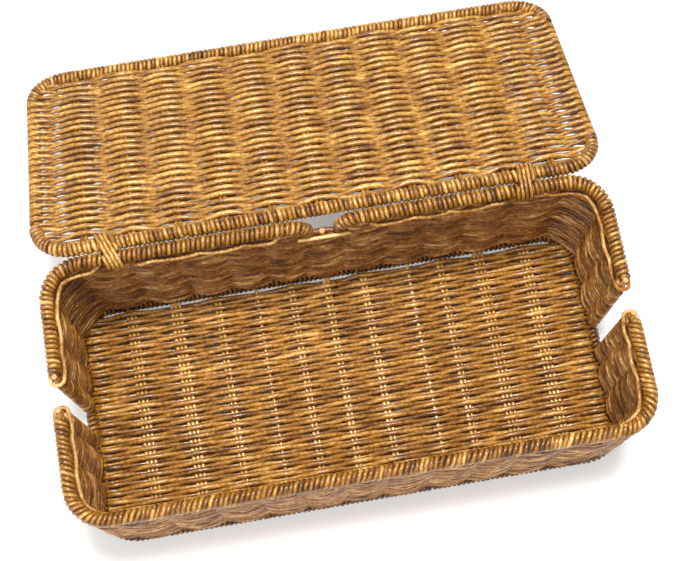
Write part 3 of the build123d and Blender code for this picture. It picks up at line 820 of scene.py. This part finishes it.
def lid_row(index):
    """One row of the lid, with its heights and radii."""
    v = LID_FIRST + index * lid_rows_apart
    straight = CORNER < v < LID_DEPTH - CORNER
    sides = [(-1) ** (index + k) for k in range(13)]
    places = stops_between(lid_lines)
    if not straight:
        reach = lid_reach(v, ROW_INSET)
        places = np.concatenate([[-reach], places[abs(places) < reach - 0.8], [reach]])
    heights = wave(places, lid_lines, sides, lid_halves)
    sway = wander(places, 0.18) + wander(places, 0.3, every=8.0)
    # rows that share a turn at one side draw together there, which leaves slits between pairs
    near_side = np.clip(1 - abs(abs(places) - SLIT_PLACE) / SLIT_WIDTH, 0, 1)
    mate = np.where((index % 2 == 0) == (places > 0), 1.0, -1.0)
    pull = mate * near_side * (SLIT_PULL + 0.2 * chance.random()) if straight else 0.0
    # the first rows arch from stake to stake, and the last ones sag from the far rod
    near_arch = NEAR_ARCH * max(0.0, 1 - (v - LID_FIRST) / NEAR_FADE)
    far_sag = FAR_SAG * max(0.0, 1 - (LID_LAST - v) / FAR_FADE)
    arch = np.cos(pi * places / LID_PITCH) ** 2
    bow = near_arch * (arch - 1) - far_sag * (2 * arch - 1)
    over = abs(heights)
    radii = LID_CORD * (0.97 + 0.15 * over - 0.16 * near_side + wander(places, 0.03, every=12.0))
    out_here = np.where(abs(places) > LID_LENGTH / 2 - 1, SIDE_REACH, LID_REACH)
    points = [lid_point(*spot) for spot in zip(places, v + sway + pull + bow, out_here * heights)]
    return points, over, radii, sides, straight


lid_weave = Skein()
down_the_lid = Vector(lid_point(0, 1, 0)) - Vector(lid_point(0, 0, 0))
line, over, radii = [], [], []
for index in range(LID_ROWS):
    row, row_over, thick, sides, straight = lid_row(index)
    leftwards = index % 2 == 1
    order = slice(None, None, -1) if leftwards else slice(None)
    line += row[order]
    over += list(row_over[order])
    radii += list(thick[order])
    v = LID_FIRST + index * lid_rows_apart
    if straight and CORNER < v + lid_rows_apart < LID_DEPTH - CORNER:
        way = -1 if leftwards else 1
        begin = sides[0] if leftwards else sides[-1]
        # once and a half round the side rod, up to the next row
        for step in range(1, 12):
            angle = begin * (pi / 2 - 3 * pi * step / 12)
            line.append(lid_point(way * (LID_LENGTH / 2 + SIDE_REACH * cos(angle)),
                                  v + lid_rows_apart * step / 12, SIDE_REACH * sin(angle)))
            over.append(0.9)
            radii.append(LID_CORD * 0.85)
    else:
        # painted shade on the sides that touch the next rows, strongest over a stake, and painted light over
        # a stake with painted shade where a row dips under
        pressed = np.outer(0.6 + 0.4 * np.array(over), down_the_lid)
        lid_weave.lay(line, radii, sides=8, tone=0.55, own=0.0, shade=0.14 * (np.array(over) - 0.5),
                      beside=pressed)
        line, over, radii = [], [], []
lid_weave.piece("lid_weave_cords", "lid", "weave_cord", lid_reed, "lid_weave")

lid_reeds = []
for u in [k * LID_PITCH + side for k in range(-5, 6) for side in (-PAIR_HALF, PAIR_HALF)]:
    lid_reeds.append((lid_point(u, REED_INSET, 0.0), lid_point(u, LID_DEPTH - REED_INSET, 0.0)))
lid_reed_length = LID_DEPTH - 2 * REED_INSET
stand_reeds("lid_reeds", "lid", cut_reed(lid_reed_length, LID_STICK), lid_reeds, "lid_stakes", tone=0.4)

lid_frame = Skein()
for near in (True, False):
    edge = 0.0 if near else LID_DEPTH
    turn = CORNER + LAP if near else LID_DEPTH - CORNER - LAP
    line = rounded_line([lid_point(-LID_LENGTH / 2, turn, 0), lid_point(-LID_LENGTH / 2, edge, 0),
                         lid_point(LID_LENGTH / 2, edge, 0), lid_point(LID_LENGTH / 2, turn, 0)],
                        [0, CORNER, CORNER, 0])
    wrap(lid_frame, line, LID_TURN, hand=1 if near else -1, tone=0.6)
lid_frame.piece("lid_rim_wrap", "lid", "rim_cord", rim_reed, "lid_rim")

x_lid, face = LID_LENGTH / 2, (0, sin(LID_SLOPE), cos(LID_SLOPE))
across = 2 * (x_lid - CORNER)
down = Vector(lid_point(0, LID_DEPTH - 2 * CORNER, 0)) - Vector(lid_point(0, 0, 0))
lift_rod("lid_rim_rod", "lid", (lid_point(-x_lid + CORNER, 0, 0), (0, pi / 2, 0)),
         [("draw", (across, 0, 0)),
          ("bend", lid_point(x_lid - CORNER, CORNER, 0), face, 90),
          ("draw", down),
          ("bend", lid_point(x_lid - CORNER, LID_DEPTH - CORNER, 0), face, 90),
          ("draw", (-across, 0, 0)),
          ("bend", lid_point(-x_lid + CORNER, LID_DEPTH - CORNER, 0), face, 90),
          ("draw", -down),
          ("bend", lid_point(-x_lid + CORNER, CORNER, 0), face, 90)], closed=True)
lift_rod("bottom_hoop_rod", "box", ((-x_hoop + CORNER, -y_hoop, HOOP_HEIGHT), (0, pi / 2, 0)),
         [("draw", (2 * (x_hoop - CORNER), 0, 0)),
          ("bend", (x_hoop - CORNER, -y_hoop + CORNER, HOOP_HEIGHT), (0, 0, 1), 90),
          ("draw", (0, 2 * (y_hoop - CORNER), 0)),
          ("bend", (x_hoop - CORNER, y_hoop - CORNER, HOOP_HEIGHT), (0, 0, 1), 90),
          ("draw", (-2 * (x_hoop - CORNER), 0, 0)),
          ("bend", (-x_hoop + CORNER, y_hoop - CORNER, HOOP_HEIGHT), (0, 0, 1), 90),
          ("draw", (0, -2 * (y_hoop - CORNER), 0)),
          ("bend", (-x_hoop + CORNER, -y_hoop + CORNER, HOOP_HEIGHT), (0, 0, 1), 90)], closed=True)

# -------------------------------------------------------------------------------- ties
TIE_TURNS, TIE_STEPS, TIE_PITCH = 4, 28, 2.65
# the share of a turn that goes round one rod, and the share that crosses from rod to rod
ROUND_SHARE = 0.36
CROSS_SHARE = 0.5 - ROUND_SHARE


def tie_point(turn_share, place, slant, turns_done):
    """A point of a tie's cord: round the box's rod, across below, round the lid's and back over."""
    if turn_share < ROUND_SHARE:
        angle, centre = pi / 2 + pi * turn_share / ROUND_SHARE, 0.0
    elif turn_share < 0.5:
        angle, centre = 3 * pi / 2, LINK * (turn_share - ROUND_SHARE) / CROSS_SHARE
    elif turn_share < 0.5 + ROUND_SHARE:
        angle, centre = 3 * pi / 2 + pi * (turn_share - 0.5) / ROUND_SHARE, LINK
    else:
        angle, centre = pi / 2, LINK * (1 - (turn_share - 0.5 - ROUND_SHARE) / CROSS_SHARE)
    y = centre + TIE_REACH * cos(angle)
    x = place + slant * y / LINK + (turns_done + turn_share - TIE_TURNS / 2) * TIE_PITCH
    return (x, HINGE_Y + y, RIM_HEIGHT + TIE_REACH * sin(angle))


for name, (place, slant) in TIES.items():
    tie = Skein()
    points = [tie_point(step / TIE_STEPS, place, slant, turn)
              for turn in range(TIE_TURNS) for step in range(TIE_STEPS)]
    tie.lay(points, TIE_CORD, sides=8, tone=0.66, patch=0.1, beside=SIDEWAYS)
    tie.piece(f"{name}_tie_cord", "hinge_ties", "tie_cord", rim_reed, f"{name}_hinge_tie")

# ------------------------------------------------------------------- camera and light
# It looks steeply down from the front, a little from the left. Angles in radians, place in metres.
azimuth, elevation, roll = -0.148, 1.2807, -0.0245
camera_place = Vector((-0.03439, -0.21381, 0.96603))
focal_length, sensor_width = 78.28, 36.0
back_way = Vector((sin(azimuth) * cos(elevation), -cos(azimuth) * cos(elevation), sin(elevation)))
level_way = (-back_way).cross(Vector((0, 0, 1))).normalized()
up_way = level_way.cross(-back_way)
right_way = cos(roll) * level_way + sin(roll) * up_way
top_way = -sin(roll) * level_way + cos(roll) * up_way
lens = bpy.data.cameras.new("camera")
lens.sensor_width = sensor_width
lens.lens = focal_length
camera = bpy.data.objects.new("camera", lens)
bpy.context.scene.collection.objects.link(camera)
camera.matrix_world = Matrix((
    (right_way.x, top_way.x, back_way.x, camera_place.x),
    (right_way.y, top_way.y, back_way.y, camera_place.y),
    (right_way.z, top_way.z, back_way.z, camera_place.z),
    (0, 0, 0, 1),
))
bpy.context.scene.camera = camera

bpy.ops.object.select_all(action="DESELECT")
bpy.ops.mesh.primitive_plane_add(size=3.0, location=(0, 0, -0.0004))
floor = bpy.context.object
floor.name = "floor"
# matt white card: it shows as white, and keeps the object's soft shadow
card, tree = new_tree("matt_white_card_floor")
matt = add_node(tree, "ShaderNodeBsdfDiffuse", {"Color": linear("E6E5E5")})
white = add_node(tree, "ShaderNodeEmission", {"Color": linear("FFFFFF"), "Strength": 0.28})
lit = add_node(tree, "ShaderNodeAddShader", _0=matt.outputs[0], _1=white.outputs[0])
seen = add_node(tree, "ShaderNodeLightPath")
choice = add_node(tree, "ShaderNodeMixShader", Fac=seen.outputs["Is Camera Ray"],
                  _1=matt.outputs[0], _2=lit.outputs[0])
add_node(tree, "ShaderNodeOutputMaterial", Surface=choice.outputs[0])
floor.data.materials.append(card)

# a sheet of painted shade: a card under the box without the floor's added white glow, so it has only the
# light that comes through the weave; it stops inside the hoop
SHADED_INSET = 4.0
bpy.ops.object.select_all(action="DESELECT")
bpy.ops.mesh.primitive_plane_add(size=1.0, location=(0, 0, -0.0002))
shaded_floor = bpy.context.object
shaded_floor.name = "floor_card_painted_shade_under_box"
shaded_length, shaded_depth = BASE_LENGTH - 2 * SHADED_INSET, BASE_DEPTH - 2 * SHADED_INSET
bpy.ops.transform.resize(value=(shaded_length * MM, shaded_depth * MM, 1.0))
bpy.ops.object.transform_apply(location=True, rotation=True, scale=True)
shaded_card, tree = new_tree("matt_white_card_painted_shade")
matt = add_node(tree, "ShaderNodeBsdfDiffuse", {"Color": linear("E6E5E5")})
add_node(tree, "ShaderNodeOutputMaterial", Surface=matt.outputs[0])
shaded_floor.data.materials.append(shaded_card)

world = bpy.data.worlds.new("studio")
bpy.context.scene.world = world
world.use_nodes = True
tree = world.node_tree
tree.nodes.clear()
room = add_node(tree, "ShaderNodeBackground", {"Color": linear("F4F2EE"), "Strength": 0.5})
blank = add_node(tree, "ShaderNodeBackground", {"Color": linear("FFFFFF"), "Strength": 1.0})
seen = add_node(tree, "ShaderNodeLightPath")
choice = add_node(tree, "ShaderNodeMixShader", Fac=seen.outputs["Is Camera Ray"],
                  _1=room.outputs[0], _2=blank.outputs[0])
add_node(tree, "ShaderNodeOutputWorld", Surface=choice.outputs[0])


def softbox(name, place, size, power):
    """A soft lamp turned towards the middle of the object."""
    lamp = bpy.data.lights.new(name, "AREA")
    lamp.shape = "SQUARE"
    lamp.size = size
    lamp.energy = power
    thing = bpy.data.objects.new(name, lamp)
    bpy.context.scene.collection.objects.link(thing)
    thing.location = place
    middle = Vector((0, 0.05, 0.05))
    thing.rotation_euler = (middle - Vector(place)).to_track_quat("-Z", "Y").to_euler()


softbox("key", (0.1, 0.3, 2.85), size=0.6, power=93)
softbox("fill", (-0.9, -0.7, 1.3), size=0.8, power=9)

bpy.context.scene.view_settings.view_transform = "Standard"
